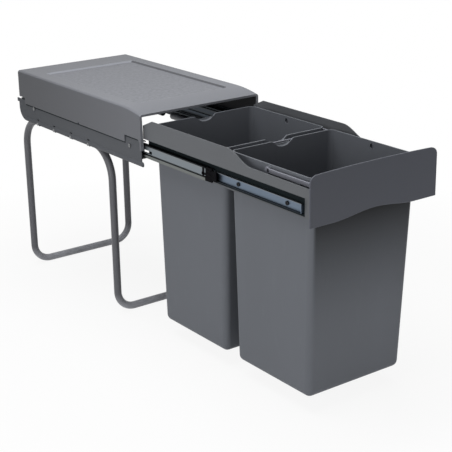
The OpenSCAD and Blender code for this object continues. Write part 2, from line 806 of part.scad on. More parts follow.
// Bin, centred on Y = 0
module bin() {
    x_boss = x_rim + boss_out;
    stop_y = -stop_at * bin_len;
    lip_out = bin_len / 2 + bail_gap - hand_lip_gap;
    flare = (hand_w - hand_low_w) / 2;
    flank = [for (i = [0:hand_n]) [flare * i / hand_n - hand_w / 2, rim_z - hand_flank * ease(i / hand_n)]];
    scoop = [for (i = [1:2 * hand_n - 1]) let (a = 90 * i / hand_n)
        [-hand_low_w / 2 * cos(a), rim_z - hand_flank - (hand_h - hand_flank) * sin(a)]];
    lip = [for (i = [0:2 * hand_n]) let (a = 90 * i / hand_n) [-(hand_low_w / 2 + hand_lip_t) * cos(a),
        rim_z - hand_flank - (hand_h - hand_flank + hand_lip_t) * sin(a)]];
    hand = concat(flank, scoop, [for (i = [hand_n:-1:0]) [-flank[i][0], flank[i][1]]],
        [[hand_w / 2, rim_z + 1], [-hand_w / 2, rim_z + 1]]);
    difference() {
        union() {
            tub(0, rim_z, floor_z);
            both_sides() {
                block([x_foot, -hang_len / 2, shelf_z],
                    [x_side - side_t - hang_gap, hang_len / 2, shelf_z + hang_t]);
                block([x_foot, stop_y - stop_half, shelf_z],
                    [x_boss + bail_t, stop_y + stop_half, pivot_z - bail_h / 2]);
                rod_x(2 * bail_h, x_foot, x_boss, 0, pivot_z);
            }
            bar(-lip_out, lip_out) polygon(lip);
        }
        tub(bin_t, rim_z + 1, floor_z + bin_t);
        bar(-lip_out - 1, lip_out + 1) polygon(hand);
        both_sides() rod_x(pin_d + 2 * pin_gap, x_foot, x_boss + 1, 0, pivot_z);
    }
}

module rear_bin() { color(plastic_dark) translate([0, rear_bin_y, 0]) bin(); }

module front_bin() { color(plastic_dark) translate([0, front_bin_y, 0]) bin(); }

// Bail folded forwards, centred on its pivot line
module bail() {
    x_in = x_rim + boss_out + boss_gap;
    x_out = x_in + bail_t;
    bar_y = -bin_len / 2 - bail_gap;
    both_sides() {
        plate(x_in, x_out) union() {
            translate([0, pivot_z]) circle(eye_r);
            translate([bar_y - bail_t, pivot_z - bail_h / 2]) square([-bar_y + bail_t, bail_h]);
        }
        rod_x(pin_d, wall_x(pivot_z) - bin_t + pin_end, x_in + eps, 0, pivot_z);
    }
    block([-x_out, bar_y - bail_t, pivot_z - bail_h / 2], [x_out, bar_y, pivot_z + bail_h / 2]);
}

module rear_bail() { color(paint_light) translate([0, rear_bin_y, 0]) bail(); }

module front_bail() { color(paint_light) translate([0, front_bin_y, 0]) bail(); }

top_cover();
left_side_rail();
right_side_rail();
front_leg();
rear_leg();
leg_spacers();
leg_rivets();
rail_screws();
left_slide_outer();
right_slide_outer();
left_slide_middle();
right_slide_middle();
slide_bumpers();
outer_ball_cages();
outer_balls();
inner_ball_cages();
inner_balls();
left_slide_inner();
right_slide_inner();
inner_screws();
left_carrier_side();
right_carrier_side();
rear_cross_rail();
centre_cross_rail();
front_panel();
panel_screws();
rear_bin();
front_bin();
rear_bail();
front_bail();
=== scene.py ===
"""Looks of the pull out bin frame: a cover on tube legs, ball slides, a carrier and two lift-out bins."""

import math

import bmesh
import bpy
from mathutils import Matrix, Vector


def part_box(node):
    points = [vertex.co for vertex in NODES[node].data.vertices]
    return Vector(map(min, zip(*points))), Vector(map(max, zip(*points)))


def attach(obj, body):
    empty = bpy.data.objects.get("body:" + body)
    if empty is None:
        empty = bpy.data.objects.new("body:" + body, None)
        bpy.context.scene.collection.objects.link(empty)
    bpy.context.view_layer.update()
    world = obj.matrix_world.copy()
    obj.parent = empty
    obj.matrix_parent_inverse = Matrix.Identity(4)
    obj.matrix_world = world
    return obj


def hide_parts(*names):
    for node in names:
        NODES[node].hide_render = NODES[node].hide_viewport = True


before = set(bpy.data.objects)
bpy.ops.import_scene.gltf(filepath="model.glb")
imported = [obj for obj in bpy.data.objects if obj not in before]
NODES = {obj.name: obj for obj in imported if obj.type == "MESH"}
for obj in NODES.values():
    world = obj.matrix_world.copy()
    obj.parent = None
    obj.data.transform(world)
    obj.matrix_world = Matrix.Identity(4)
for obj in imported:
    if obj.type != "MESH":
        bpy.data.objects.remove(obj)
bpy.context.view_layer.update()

bl_info = {
    "name": "Pull out bin frame",
    "version": (1, 0, 0),
    "blender": (4, 5, 0),
    "location": "View3D > Sidebar > Bin frame",
    "description": "Dresses the packed pull out bin frame for a studio picture",
    "category": "Object",
}

# Limits for merging and flattening meshes
TINY = 1e-5
WELD = 2e-6
SLIVER = 1.6e-4
FLAT = math.radians(0.5)

# Rounding of creases, and a height on the cover's side walls, in metres
CREASE = 0.0007
SIDE_WALL = 0.38

# Half the side of the studio floor, in metres
FLOOR_HALF = 12.0

# A bin's added shells: how deep in the wall, how far the bosses stand out, half a stop's length
SUNK = 0.0012
BOSS_STANDS = 0.002
STOP_HALF = 0.004

# Bounds of the recess's grain, and of the painted shade and painted highlights in the finishes, in metres
GRAIN_SIDE = 0.0015
GRAIN_END = 0.002
GRAIN_FLAT = 0.0004
# Painted shade on the cover's side walls and on their inside
COVER_FLANK = 0.1274
COVER_INSIDE = (0.1205, 0.1265)
COVER_ROOF = 0.009
COVER_FRONT = 0.0035
# Painted shadow on the rails under the cover's lower edge and under the notch's top
SKIRT_STRIP = 0.0029
NOTCH_STRIP = 0.0030
# Painted shade on the carrier's lower walls behind the slides
CARRIER_WALL = (0.1096, 0.1124)
GAP_AHEAD = 0.0025
GAP_TOP = 0.0013
GAP_FOOT = 0.0124
# Painted shadow on the front bin's front wall under the panel
PANEL_SHADE = 0.21
PANEL_FADE = (0.01, 0.05)
# Painted highlight and painted shade in bands along the slide channels
MIDDLE_CHANNEL = 0.1180
LIP_BAND = -0.0060
GROOVE_BAND = -0.0066
TOP_BAND = 0.0092


def length(name, text, default):
    return bpy.props.FloatProperty(name=name, description=text, default=default, precision=5, unit="LENGTH")


def colour(name, text, default):
    return bpy.props.FloatVectorProperty(
        name=name, description=text, default=default, size=3, min=0.0, max=1.0, subtype="COLOR")


def angle(name, text, degrees):
    return bpy.props.FloatProperty(
        name=name, description=text, default=math.radians(degrees), subtype="ANGLE")


def amount(name, text, default):
    return bpy.props.FloatProperty(name=name, description=text, default=default, min=0.0)


def count(name, text, default):
    return bpy.props.IntProperty(name=name, description=text, default=default, min=1)


class BinFrameSizes(bpy.types.PropertyGroup):
    """Sizes of the pieces that are modelled here."""
    sheet_edge: length("Sheet edge", "Rounding of folded and cut sheet edges", 0.0004)
    slide_edge: length("Slide edge", "Rounding of the rolled slide channels", 0.0003)
    head_edge: length("Head edge", "Rounding of screw and rivet heads", 0.0006)
    moulded_edge: length("Moulded edge", "Rounding of moulded plastic edges", 0.0006)
    tube: length("Tube", "Outer diameter of the leg tube", 0.014)
    tube_wall: length("Tube wall", "Wall of the leg tube", 0.0012)
    tube_sides: count("Tube sides", "Facets round the leg tube", 32)
    bend_top: length("Top bend", "Bend radius at the top of a leg", 0.058)
    bend_low: length("Low bend", "Bend radius at the bottom of a leg", 0.035)
    skirt: length("Skirt", "Height of the cover's lower edge", 0.3525)
    cover_wall: length("Cover wall", "Wall of the cover", 0.002)
    cover_fold: length("Cover fold", "Radius of the cover's outer edges", 0.005)
    droop: length("Droop", "How far the front of the top rolls down", 0.007)
    droop_length: length("Droop length", "Length of the roll at the front", 0.065)
    cover_lip: length("Cover lip", "Depth of the turned-in front lip", 0.004)
    lip_foot: length("Lip foot", "Depth of that lip at the foot of each side wall", 0.006)
    recess_half: length("Recess half width", "Half the width of the recess in the top", 0.100)
    recess_front: length("Recess front", "Front edge of the recess", 0.054)
    recess_rear: length("Recess rear", "Rear edge of the recess", 0.388)
    recess_depth: length("Recess depth", "Depth of the recess", 0.003)
    recess_slope: length("Recess slope", "Run of the recess's sloping walls", 0.0048)
    recess_corner: length("Recess corner", "Corner radius of the recess", 0.008)
    notch_front: length("Notch front", "Front edge of the notch in each side wall", 0.0045)
    notch_rear: length("Notch rear", "Rear edge of the notch in each side wall", 0.054)
    notch_top: length("Notch top", "Upper edge of the notch in each side wall", 0.365)
    notch_corner: length("Notch corner", "Radius of the notch's upper front corner", 0.008)
    rear_cut: length("Rear cut", "Front edge of the cut at the rear of each side wall", 0.429)
    rear_cut_top: length("Rear cut top", "Upper edge of that cut", 0.3645)
    snap: length("Snap", "Radius of the snap notch in the skirt", 0.003)
    snap_place: length("Snap place", "Place of the snap notch along the skirt", 0.2168)
    rim_half: length("Rim half width", "Half the width of a bin at the rim", 0.106)
    rim_reach: length("Rim half length", "Half the length of a bin at the rim", 0.101)
    foot_half: length("Foot half width", "Half the width of a bin at the floor", 0.0976)
    draft_front: length("Front draft", "Draft of a bin's front wall", 0.016)
    draft_rear: length("Rear draft", "Draft of a bin's rear wall", 0.001)
    bin_wall: length("Bin wall", "Wall of a bin", 0.0025)
    bin_corner: length("Bin corner", "Radius of a bin's corners and lower edges", 0.011)
    hand_half: length("Notch half width", "Half the width of a bin's hand notch", 0.023)
    scoop_half: length("Scoop half width", "Half the width of the notch's round scoop", 0.017)
    hand_deep: length("Notch depth", "Depth of a bin's hand notch", 0.0125)
    hand_flank: length("Flank depth", "Depth of the notch's flanks above the scoop", 0.004)
    scoop_out: length("Scoop reach", "How far the scoop's lip stands out of the wall", 0.0038)
    pivot_drop: length("Pivot drop", "Depth of the bail's pivot below the rim", 0.0083)
    pivot_hole: length("Pivot hole", "Diameter of the bail's pivot hole", 0.0084)
    boss: length("Boss", "Diameter of the pivot boss", 0.014)
    slide_height: length("Slide height", "Height of the slides' middle line", 0.3455)
    shelf: length("Shelf", "Height of the shelf that the bins hang on", 0.368)
    hang: length("Hanger", "Thickness of the flanges that a bin hangs by", 0.003)
    hang_half: length("Hanger half length", "Half the length of those flanges", 0.080)
    hang_out: length("Hanger reach", "Outer edge of those flanges", 0.117)
    stop_place: length("Bail stop", "Place of the bail's stop ahead of the pivot", 0.07272)
    strap: length("Strap", "Thickness of a bail's strap", 0.003)
    strap_high: length("Strap height", "Height of a bail's strap", 0.007)
    strap_bend: length("Strap bend", "Bend radius of a bail's corners", 0.010)
    eye: length("Eye", "Radius of a bail's eye", 0.0056)
    pin: length("Pin", "Diameter of a bail's pins", 0.0059)
    panel_corner: length("Panel corner", "Radius of the front panel's upper corners", 0.012)
    panel_crown: length("Panel crown", "Crown of the panel's top edge", 0.0025)
    panel_arch: length("Panel arch", "Height of the arch in the panel's lower edge", 0.0075)
    panel_arch_half: length("Panel arch half width", "Half the width of that arch", 0.085)


class BinFrameColours(bpy.types.PropertyGroup):
    """Colours of the finishes, as they are written in linear light."""
    cover_plastic: colour("Cover", "Grained cover", (0.182, 0.189, 0.210))
    rail_paint: colour("Rails", "Powder coat of the side rails", (0.084, 0.089, 0.098))
    leg_paint: colour("Legs", "Powder coat of the tube legs", (0.112, 0.114, 0.124))
    carrier_paint: colour("Carrier", "Powder coat of the carrier", (0.124, 0.130, 0.138))
    panel_paint: colour("Panel", "Powder coat of the front panel", (0.068, 0.073, 0.090))
    bin_plastic: colour("Bins", "Moulded plastic of the bins", (0.135, 0.144, 0.160))
    bail_plastic: colour("Bails", "Moulded plastic of the bails", (0.182, 0.187, 0.214))
    slide_zinc: colour("Slides", "Zinc plate of the slides", (0.150, 0.190, 0.240))
    cage_steel: colour("Ball cages", "Rolled strip of the ball cages", (0.58, 0.59, 0.59))
    ball_steel: colour("Balls", "Polished balls", (0.78, 0.79, 0.80))
    fastener_steel: colour("Fasteners", "Zinc plated rivets and screws", (0.20, 0.205, 0.21))
    black_screw: colour("Black screws", "Black oxide of the slides' screws", (0.022, 0.022, 0.025))
    black_plastic: colour("Black plastic", "Bumpers and spacers", (0.005, 0.005, 0.006))
    floor: colour("Floor", "Pale studio floor", (0.82, 0.82, 0.82))


class BinFrameStage(bpy.types.PropertyGroup):
    """Camera and light of the picture."""
    eye: bpy.props.FloatVectorProperty(name="Camera", description="Place of the camera", subtype="XYZ",
                                       unit="LENGTH", size=3, default=(-1.1830, -1.6917, 0.8974))
    lens: bpy.props.FloatProperty(name="Lens", description="Focal length in millimetres", default=95.19)
    heading: angle("Heading", "Turn of the camera about the upright axis", -36.09)
    pitch: angle("Pitch", "Height of the camera above the horizon", 19.14)
    roll: angle("Roll", "Roll of the camera", -0.96)
    sky: amount("Sky", "Level of the soft light from all round", 0.14)
    top_power: amount("Top light", "Power of the light above", 40.0)
    side_power: amount("Side light", "Power of the light on the left", 7.6)
    front_power: amount("Front light", "Power of the light in front", 4.6)
    card_power: amount("Floor card", "Power of the pale card on the floor in front", 0.44)
    glow: amount("Floor glow", "Share of the floor's white that takes no shadow", 0.90)


def sizes():
    return bpy.context.scene.bin_frame_sizes


def maths(operation, turned=False):
    """A method of Value that adds a Math node, with its two values turned round where asked."""
    def method(self, other):
        a, b = (other, self) if turned else (self, other)
        return self.nodes.add("ShaderNodeMath", {0: a, 1: b}, {"operation": operation})
    return method


class Value:
    """A socket of a finish, on which Python maths adds Math nodes."""
    __add__ = maths("ADD")
    __radd__ = maths("ADD", True)
    __sub__ = maths("SUBTRACT")
    __rsub__ = maths("SUBTRACT", True)
    __mul__ = maths("MULTIPLY")
    __rmul__ = maths("MULTIPLY", True)
    __gt__ = maths("GREATER_THAN")
    __lt__ = maths("LESS_THAN")

    def __init__(self, nodes, socket):
        self.nodes = nodes
        self.socket = socket


class Nodes:
    """The nodes of a material or a world. add() makes any node from its type, sockets and settings."""

    def __init__(self, owner):
        owner.use_nodes = True
        self.tree = owner.node_tree
        self.tree.nodes.clear()

    def add(self, kind, sockets=None, settings=None, output=0):
        node = self.tree.nodes.new(kind)
        for key, value in (settings or {}).items():
            if key == "stops":
                for stop, (at, level) in zip(node.color_ramp.elements, value):
                    stop.position = at
                    stop.color = (level, level, level, 1.0)
            else:
                setattr(node, key, value)
        for key, value in (sockets or {}).items():
            if isinstance(value, Value):
                self.tree.links.new(value.socket, node.inputs[key])
            else:
                node.inputs[key].default_value = value
        return Value(self, node.outputs[output]) if len(node.outputs) else node


class Finish(Nodes):
    """A procedural material, laid out by place on the object."""

    def __init__(self, name):
        self.material = bpy.data.materials.new(name)
        super().__init__(self.material)
        self.place = self.add("ShaderNodeTexCoord", output="Object")

    def noise(self, scale, detail=2.0, stretch=None):
        place = self.place
        if stretch:
            place = self.add("ShaderNodeMapping", {"Vector": place, "Scale": stretch})
        return self.add(
            "ShaderNodeTexNoise", {"Vector": place, "Scale": scale, "Detail": detail}, output="Fac")

    def pebbles(self, scale):
        return self.add("ShaderNodeTexVoronoi", {"Vector": self.place, "Scale": scale, "Smoothness": 0.6},
                        {"feature": "SMOOTH_F1"}, "Distance")

    def ramp(self, value, low, high):
        """0 up to low, 1 from high on. Both lie between 0 and 1."""
        return self.add("ShaderNodeValToRGB", {"Fac": value}, {"stops": ((low, 0.0), (high, 1.0))})

    def edge(self):
        """1 on the rounded edges that soften() marks."""
        return self.add("ShaderNodeAttribute", None, {"attribute_name": "edge"}, "Fac")

    def axis(self, name):
        return self.add("ShaderNodeSeparateXYZ", {0: self.place}, output=name)

    def axes(self, names):
        return [self.axis(name) for name in names]

    def blend(self, factor, a, b):
        return self.add("ShaderNodeMix", {0: factor, 6: a, 7: b}, {"data_type": "RGBA"}, 2)

    def coats(self, base, *shares):
        """Lays colours over a base, one after another, each with its share."""
        for share, rgba in shares:
            base = self.blend(share, base, rgba)
        return base

    def bump(self, height, strength, distance):
        return self.add("ShaderNodeBump", {"Height": height, "Strength": strength, "Distance": distance},
                        output="Normal")

    def surface(self, base, roughness, normal, constants):
        sockets = {"Base Color": base, "Roughness": roughness, "Normal": normal, **constants}
        shader = self.add("ShaderNodeBsdfPrincipled", sockets)
        self.add("ShaderNodeOutputMaterial", {"Surface": shader})
        return self.material


def tone(rgb, level, blue=1.0):
    """The colour times a level, and its blue times one more."""
    return (rgb[0] * level, rgb[1] * level, rgb[2] * level * blue, 1.0)


def behind_slides(f):
    """1 on the carrier's lower walls in the gap behind the slides, where painted shade makes them almost
    black.
    """
    s = sizes()
    x, y, z = f.axes("XYZ")
    wall = (x * x > CARRIER_WALL[0] ** 2) * (x * x < CARRIER_WALL[1] ** 2)
    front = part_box("left_slide_inner")[0].y
    return wall * (y > front - GAP_AHEAD) * (z < s.shelf - GAP_TOP) * (z > s.slide_height - GAP_FOOT)


def under_skirt(f):
    """Painted shadow on the strip of a rail under the cover's lower edge and under the notch's top, and
    painted shade a little darker to the rear.
    """
    s = sizes()
    y, z = f.axes("YZ")
    skirt = (y > s.notch_rear - 0.0006) * (y < s.rear_cut) * (z > s.skirt - SKIRT_STRIP)
    notch = (y < s.notch_rear) * (z > s.notch_top - NOTCH_STRIP)
    return (skirt + notch) * 0.85 + f.ramp(y, 0.15, 0.47) * 0.22


def under_panel(f):
    """Soft shade on the front bin's front wall, below the panel that hangs in front of it."""
    s = sizes()
    low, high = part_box("front_bin")
    y, z = f.axes("YZ")
    lean = s.draft_front / (high.z - low.z)
    wall = (high.z - z) * lean + ((low.y + high.y) / 2 - s.rim_reach)
    outside = f.ramp((wall - y) * 100.0 + 0.5, 0.28, 0.48)
    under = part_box("front_panel")[0].z
    depth = f.ramp(z, under - PANEL_SHADE, under)
    return outside * depth * depth * (1.0 - f.ramp(z, under + PANEL_FADE[0], under + PANEL_FADE[1]))


def bar_highlight(f):
    """Painted highlight, in patches, on the legs' bars where they lie on the floor."""
    painted_light = f.ramp(f.noise(40.0, 3.0), 0.30, 0.60) * 0.3 + 0.7
    return painted_light * (1.0 - f.ramp(f.axis("Z"), 0.013, 0.040))


def powder_coat(name, rgb, sheen=0.3, painted_shade=None, matt=0.40, painted_light=None):
    """Smooth matt powder coat with a faint orange peel and worn edges, and with painted shade and a painted
    highlight in places.
    """
    f = Finish(name)
    broad = f.noise(6.0)
    peel = f.noise(460.0)
    speck = f.noise(1500.0, 1.0)
    worn = f.edge()
    base = f.blend(broad, tone(rgb, 0.93), tone(rgb, 1.07, 1.02))
    base = f.coats(base, (f.ramp(speck, 0.56, 0.80) * 0.35, tone(rgb, 1.45)), (worn * 0.45, tone(rgb, 1.8)))
    rough = matt + peel * 0.10 + broad * 0.06 - worn * 0.06
    # Painted highlight where asked, in a much paler colour
    if painted_light:
        base = f.blend(painted_light(f), base, tone(rgb, 3.2))
    # Painted shade where asked, nearly black and rougher
    if painted_shade:
        dark = painted_shade(f)
        base = f.blend(dark, base, (0.006, 0.010, 0.012, 1.0))
        rough = rough + dark * 0.35
    skin = f.bump(peel * 0.7 + speck * 0.3, 0.22, 0.00015)
    return f.surface(base, rough, skin, {"Specular IOR Level": sheen})


def moulded(name, rgb, gloss=0.44, sheen=0.14, painted_shade=None):
    """Moulded plastic with a fine spark-eroded skin, flow marks down its walls and shade in places."""
    f = Finish(name)
    flow = f.noise(9.0, 3.0, (1.0, 1.0, 0.12))
    skin = f.noise(1100.0)
    scuff = f.ramp(f.noise(70.0, 4.0, (1.0, 1.0, 0.25)), 0.60, 0.78)
    worn = f.edge()
    base = f.blend(flow, tone(rgb, 0.93), tone(rgb, 1.06, 1.02))
    base = f.coats(base, (scuff * 0.12, tone(rgb, 1.5)), (worn * 0.5, tone(rgb, 1.8)))
    # Painted shade where asked, nearly to black
    if painted_shade:
        base = f.blend(painted_shade(f) * 0.95, base, tone(rgb, 0.02))
    rough = gloss + skin * 0.10 + flow * 0.05 + scuff * 0.05
    return f.surface(base, rough, f.bump(skin, 0.16, 0.00012), {"Specular IOR Level": sheen})


def grained(name, rgb):
    """Cover plastic with a fine grain, and coarse pebbles in the recess. Painted shade darkens the top to
    the rear, the side walls, their inside and the recess's side slopes; a painted highlight lightens the
    rear slope."""
    f = Finish(name)
    s = sizes()
    x, y, z = f.axes("XYZ")
    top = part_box("top_cover")[1].z
    inside = (x * x < (s.recess_half - GRAIN_SIDE) ** 2) * (y > s.recess_front + GRAIN_END)
    inside = inside * (y < s.recess_rear - GRAIN_END)
    inside = inside * (z > top - s.recess_depth - GRAIN_FLAT) * (z < top - s.recess_depth + GRAIN_FLAT)
    broad = f.noise(5.0)
    fine = f.pebbles(900.0)
    coarse = f.pebbles(230.0)
    mottle = f.ramp(f.noise(150.0, 3.0), 0.35, 0.70)
    worn = f.edge()
    # The recess's rear slope gets a painted highlight and its side slopes painted shade
    sloping = (x * x < s.recess_half ** 2) * (y > s.recess_front) * (y < s.recess_rear)
    sloping = sloping * (z < top - 0.0003) * (z > top - s.recess_depth + 0.0002)
    rear_slope = sloping * (y > s.recess_rear - s.recess_slope)
    side_slope = sloping * (x * x > (s.recess_half - s.recess_slope) ** 2) * (1.0 - rear_slope)
    # Painted shade on the side walls, darker to the rear, and on their inside
    side_wall_shade = (x * x > COVER_FLANK ** 2) * (0.36 + f.ramp(y, 0.05, 0.45) * 0.30)
    within = (x * x > COVER_INSIDE[0] ** 2) * (x * x < COVER_INSIDE[1] ** 2) * (z < top - COVER_ROOF)
    within = within * (y > COVER_FRONT)
    base = f.blend(broad, tone(rgb, 0.95), tone(rgb, 1.05))
    # Painted shade darkens the top to the rear
    base = f.coats(
        base,
        (f.ramp(y, 0.04, 0.46) * 0.8, tone(rgb, 0.60)),
        (inside * mottle * 0.65, tone(rgb, 0.70)),
        (inside * coarse * 0.5, tone(rgb, 1.15)),
        (worn * 0.35, tone(rgb, 1.5)),
        (side_wall_shade, tone(rgb, 0.25)),
        (rear_slope * 0.9, tone(rgb, 1.55)),
        (side_slope * 0.9, tone(rgb, 0.35)),
        (within, tone(rgb, 0.10)))
    rough = 0.42 + fine * 0.12 + inside * mottle * 0.08 + within * 0.3
    height = fine * 0.25 - inside * coarse * 1.0 - inside * mottle * 0.3
    return f.surface(base, rough, f.bump(height, 0.35, 0.0005), {"Specular IOR Level": 0.22})


def zinc_plate(name, rgb):
    """Blue bright zinc on rolled steel, with rolling marks and cloudy passivation. Painted highlight and
    painted shade make bands along the channels, and painted shade darkens the part under the cover."""
    f = Finish(name)
    rolled = f.noise(55.0, 3.0, (7.0, 0.12, 7.0))
    cloud = f.noise(34.0, 3.0)
    worn = f.edge()
    x = f.axis("X")
    up = f.axis("Z") - sizes().slide_height
    # The middle and outer channels get a greyer, lighter tone than the inner ones
    outer = x * x > MIDDLE_CHANNEL ** 2
    # Tones: olive for a painted highlight, pale for painted shade on the middle channel's lower lip
    olive_highlight = (rgb[0] * 1.35, rgb[1] * 1.1, rgb[2] * 0.9, 1.0)
    grey = (rgb[0] * 1.45, rgb[1] * 1.26, rgb[2] * 1.04, 1.0)
    pale = (rgb[0] * 1.05, rgb[1] * 0.88, rgb[2] * 0.68, 1.0)
    base = f.blend(cloud, tone(rgb, 0.82), tone(rgb, 1.10, 1.05))
    # Painted highlight along the web's top; painted shade on the lower lip, the inner channel's lower band,
    # the top band and under the cover
    base = f.coats(
        base,
        (f.ramp(rolled, 0.45, 0.75) * 0.3, tone(rgb, 1.25)),
        (worn * 0.4, tone(rgb, 1.5)),
        (f.ramp(up * 100.0, 0.45, 0.80) * 0.7, olive_highlight),
        (outer * 0.75, grey),
        (outer * (up < LIP_BAND), pale),
        ((1.0 - outer) * (up < GROOVE_BAND), tone(rgb, 0.10)),
        (up > TOP_BAND, tone(rgb, 0.04)),
        (f.ramp(f.axis("Y"), 0.01, 0.10) * 0.85, tone(rgb, 0.10)))
    rough = 0.30 + rolled * 0.14 + cloud * 0.06 - worn * 0.05
    return f.surface(base, rough, f.bump(rolled, 0.10, 0.0001), {"Metallic": 1.0})


def bare_metal(name, rgb, gloss):
    """Small plated or polished metal pieces."""
    f = Finish(name)
    cloud = f.noise(180.0, 3.0)
    fine = f.noise(1300.0)
    worn = f.edge()
    base = f.blend(cloud, tone(rgb, 0.86), tone(rgb, 1.05))
    base = f.blend(worn * 0.4, base, tone(rgb, 1.2))
    rough = gloss + cloud * 0.10 + fine * 0.05
    return f.surface(base, rough, f.bump(fine, 0.08, 0.00008), {"Metallic": 1.0})


# Some finishes take a mask of painted shade, and the legs a painted highlight on their bars
MAKERS = {
    "cover_plastic": (grained, {}),
    "rail_paint": (powder_coat, {"sheen": 0.12, "painted_shade": under_skirt}),
    "leg_paint": (powder_coat, {"matt": 0.28, "painted_light": bar_highlight}),
    "carrier_paint": (powder_coat, {"sheen": 0.12, "painted_shade": behind_slides}),
    "panel_paint": (powder_coat, {}),
    "bin_plastic": (moulded, {"painted_shade": under_panel}),
    "bail_plastic": (moulded, {}),
    "black_plastic": (moulded, {"gloss": 0.55, "sheen": 0.02}),
    "black_screw": (bare_metal, {"gloss": 0.34}),
    "slide_zinc": (zinc_plate, {}),
    "cage_steel": (bare_metal, {"gloss": 0.36}),
    "ball_steel": (bare_metal, {"gloss": 0.06}),
    "fastener_steel": (bare_metal, {"gloss": 0.26}),
}


def finish_of(slot):
    """The finish of a slot, made when it is first asked for."""
    found = bpy.data.materials.get(slot + "_finish")
    if found:
        return found
    maker, settings = MAKERS[slot]
    return maker(slot + "_finish", tuple(getattr(bpy.context.scene.bin_frame_colours, slot)), **settings)


def start(node=None):
    """An empty mesh in work, or a merged copy of a CAD node."""
    bm = bmesh.new()
    if node:
        bm.from_mesh(NODES[node].data)
        bmesh.ops.remove_doubles(bm, verts=bm.verts, dist=WELD)
        bmesh.ops.dissolve_limit(bm, angle_limit=FLAT, verts=bm.verts, edges=bm.edges)
    bm.faces.layers.float.new("edge")
    return bm


def seal(bm, merge):
    """Merges what lies together and turns all faces outwards."""
    bmesh.ops.remove_doubles(bm, verts=bm.verts, dist=merge)
    bmesh.ops.recalc_face_normals(bm, faces=bm.faces)


def thicken(bm, wall):
    bmesh.ops.solidify(bm, geom=list(bm.faces), thickness=wall)


def square(bm, size, **place):
    return bmesh.ops.create_grid(bm, x_segments=1, y_segments=1, size=size, **place)["verts"]


def extrude(bm, edges):
    return bmesh.ops.extrude_edge_only(bm, edges=edges)["geom"]


def verts_of(geom):
    return [g for g in geom if isinstance(g, bmesh.types.BMVert)]


def edges_of(geom):
    return [g for g in geom if isinstance(g, bmesh.types.BMEdge)]


def bevel(bm, geom, width, segments=2, affect="EDGES"):
    made = bmesh.ops.bevel(bm, geom=geom, offset=width, offset_type="OFFSET", segments=segments,
                           profile=0.5, affect=affect, clamp_overlap=True, material=-1)
    return made["faces"]


def round_corners(bm, verts, radius, segments=6):
    """Rounds the corners of a flat outline."""
    bevel(bm, verts, radius, segments, "VERTICES")


def soften(bm, width, segments=2, sharper=32.0, within=None):
    """Rounds every sharp edge and marks the new faces, so that the finish can wear them."""
    layer = bm.faces.layers.float["edge"]
    limit = math.radians(sharper)
    edges = [e for e in (within or bm.edges) if e.is_manifold and e.calc_face_angle(0.0) > limit]
    if edges:
        for face in bevel(bm, edges, width, segments):
            face[layer] = 1.0


def cuboid(bm, low, high):
    place = Matrix.Translation((low + high) / 2) @ Matrix.Diagonal((*(high - low), 1.0))
    return bmesh.ops.create_cube(bm, size=1.0, matrix=place)["verts"]


def block(bm, side, a, b, edge, segments=2):
    """A rounded block as its own shell. a and b are corners on the right, and side -1 mirrors them."""
    x0, x1 = sorted((side * a[0], side * b[0]))
    verts = cuboid(bm, Vector((x0, *a[1:])), Vector((x1, *b[1:])))
    soften(bm, edge, segments, within={e for v in verts for e in v.link_edges})


def ring(bm, centre, outer, inner, x0, x1, steps=32):
    """A ring about an axis along X, as its own shell, or a disc with no inner radius. Gives its edges."""
    c = Vector(centre)
    corners = [(x0, inner), (x0, outer), (x1, outer), (x1, inner)]
    verts = [bm.verts.new((x, c.y, c.z + r)) for x, r in corners]
    edges = [bm.edges.new((verts[i], verts[(i + 1) % 4])) for i in range(4 if inner else 3)]
    bmesh.ops.spin(
        bm, geom=verts + edges, cent=c, axis=(1, 0, 0), angle=2 * math.pi, steps=steps, use_merge=True)

    def in_reach(v):
        off = Vector((0, v.co.y, v.co.z)) - Vector((0, c.y, c.z))
        return off.length < outer + TINY and min(x0, x1) - TINY < v.co.x < max(x0, x1) + TINY

    near = [v for v in bm.verts if in_reach(v)]
    bmesh.ops.remove_doubles(bm, verts=near, dist=TINY)
    faces = {f for v in near if v.is_valid for f in v.link_faces}
    bmesh.ops.recalc_face_normals(bm, faces=list(faces))
    return {e for f in faces for e in f.edges}


def piece(bm, name, body, slot, nodes, smooth=38.0):
    """Turns a mesh in work into a piece that rides on a body and stands for CAD nodes."""
    mesh = bpy.data.meshes.new(name)
    bm.to_mesh(mesh)
    bm.free()
    mesh.shade_smooth()
    mesh.set_sharp_from_angle(angle=math.radians(smooth))
    mesh.materials.append(finish_of(slot))
    obj = bpy.data.objects.new(name, mesh)
    bpy.context.scene.collection.objects.link(obj)
    flats = obj.modifiers.new("Flat faces", "WEIGHTED_NORMAL")
    flats.keep_sharp = True
    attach(obj, body)
    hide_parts(*nodes)


def dressed(node, body, slot, edge, segments=2):
    """A copy of a CAD node with its sharp edges rounded, which stands for that node."""
    bm = start(node)
    soften(bm, edge, segments)
    piece(bm, node + "_finished", body, slot, [node])


def cut(bm, point, normal, faces=None):
    """Cuts the mesh, or only these faces, along a plane."""
    faces = list(faces or bm.faces)
    geom = set(faces) | {e for f in faces for e in f.edges} | {v for f in faces for v in f.verts}
    bmesh.ops.bisect_plane(bm, geom=list(geom), dist=1e-7, plane_co=point, plane_no=normal)


def face_at(bm, point, facing):
    """The face that looks that way and holds the point."""
    point = Vector(point)
    for f in bm.faces:
        if f.normal.dot(facing) > 0.95 and abs((point - f.verts[0].co).dot(f.normal)) < 2e-4:
            if bmesh.geometry.intersect_face_point(f, point):
                return f
    raise RuntimeError("no face at %s" % point)


def ease(t):
    """0 to 1 with a soft start and end."""
    return (1.0 - math.cos(math.pi * t)) / 2.0


